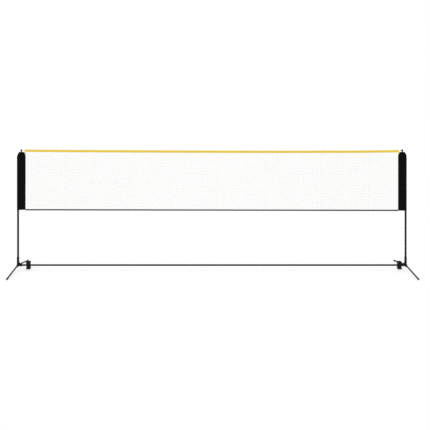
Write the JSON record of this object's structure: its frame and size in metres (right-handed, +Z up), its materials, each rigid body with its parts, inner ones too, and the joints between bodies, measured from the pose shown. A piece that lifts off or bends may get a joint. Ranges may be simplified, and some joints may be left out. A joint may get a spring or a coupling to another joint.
{
  "type": "portable net on poles",
  "caption": "Free-standing portable garden net: sleeved net with taped edges on poles, ground rail, fold-out legs and sliding stowage clips.",
  "frame": {"origin": "on the ground, midway between the two poles and between the front and rear feet", "axes": "+X along the net to the right, +Y to the rear, +Z up"},
  "size_m": [5.031, 1.032, 1.5575],
  "materials": {
    "black_tube": "satin",
    "black_moulding": "matte",
    "black_rubber": "matte",
    "black_fibreglass": "gloss",
    "zinc_fasteners": "satin",
    "black_sleeve_fabric": "matte",
    "pale_net_twine": "matte",
    "yellow_tape": "matte",
    "black_tape": "matte",
    "white_braid": "matte"
  },
  "bodies": {
    "ground_frame": {"left_foot_hub": "black_moulding", "right_foot_hub": "black_moulding", "rail_left_end": "black_tube", "rail_left_middle": "black_tube", "rail_centre": "black_tube", "rail_right_middle": "black_tube", "rail_right_end": "black_tube", "rail_end_screws": "zinc_fasteners", "leg_pivot_bolts": "zinc_fasteners", "leg_pivot_washers": "zinc_fasteners", "leg_pivot_nuts": "zinc_fasteners"},
    "poles_and_net": {"left_lower_pole": "black_tube", "left_pole_ferrule": "zinc_fasteners", "left_upper_pole": "black_fibreglass", "left_pole_cap": "black_moulding", "left_net_sleeve": "black_sleeve_fabric", "right_lower_pole": "black_tube", "right_pole_ferrule": "zinc_fasteners", "right_upper_pole": "black_fibreglass", "right_pole_cap": "black_moulding", "right_net_sleeve": "black_sleeve_fabric", "net_panel": "pale_net_twine", "top_tape": "yellow_tape", "bottom_tape": "black_tape", "head_cord": "white_braid", "foot_cord": "white_braid"},
    "left_front_leg": {"left_front_leg_knuckle": "black_moulding", "left_front_leg_tube": "black_tube", "left_front_leg_rivet": "zinc_fasteners", "left_front_leg_foot": "black_rubber"},
    "left_rear_leg": {"left_rear_leg_knuckle": "black_moulding", "left_rear_leg_tube": "black_tube", "left_rear_leg_rivet": "zinc_fasteners", "left_rear_leg_foot": "black_rubber"},
    "right_front_leg": {"right_front_leg_knuckle": "black_moulding", "right_front_leg_tube": "black_tube", "right_front_leg_rivet": "zinc_fasteners", "right_front_leg_foot": "black_rubber"},
    "right_rear_leg": {"right_rear_leg_knuckle": "black_moulding", "right_rear_leg_tube": "black_tube", "right_rear_leg_rivet": "zinc_fasteners", "right_rear_leg_foot": "black_rubber"},
    "left_stowage_clip": {"left_stowage_clip": "black_moulding"},
    "right_stowage_clip": {"right_stowage_clip": "black_moulding"}
  },
  "joints": [
    {"name": "left_front_leg_fold", "type": "hinge", "parent": "ground_frame", "child": "left_front_leg", "pos_m": [-2.5, -0.0295, 0.065], "axis": [0, -0.1139, 0.9935], "range_deg": [0, 90]},
    {"name": "left_rear_leg_fold", "type": "hinge", "parent": "ground_frame", "child": "left_rear_leg", "pos_m": [-2.5, 0.0295, 0.065], "axis": [0, -0.1139, -0.9935], "range_deg": [0, 90]},
    {"name": "right_front_leg_fold", "type": "hinge", "parent": "ground_frame", "child": "right_front_leg", "pos_m": [2.5, -0.0295, 0.065], "axis": [0, 0.1139, -0.9935], "range_deg": [0, 90]},
    {"name": "right_rear_leg_fold", "type": "hinge", "parent": "ground_frame", "child": "right_rear_leg", "pos_m": [2.5, 0.0295, 0.065], "axis": [0, 0.1139, 0.9935], "range_deg": [0, 90]},
    {"name": "left_clip_slide", "type": "slide", "parent": "ground_frame", "child": "left_stowage_clip", "axis": [1, 0, 0], "range_m": [-0.054, 0.246]},
    {"name": "right_clip_slide", "type": "slide", "parent": "ground_frame", "child": "right_stowage_clip", "axis": [-1, 0, 0], "range_m": [0, 0.3]},
    {"name": "poles_lift_out", "type": "slide", "parent": "ground_frame", "child": "poles_and_net", "axis": [0, 0, 1], "range_m": [0, 0.1]}
  ]
}
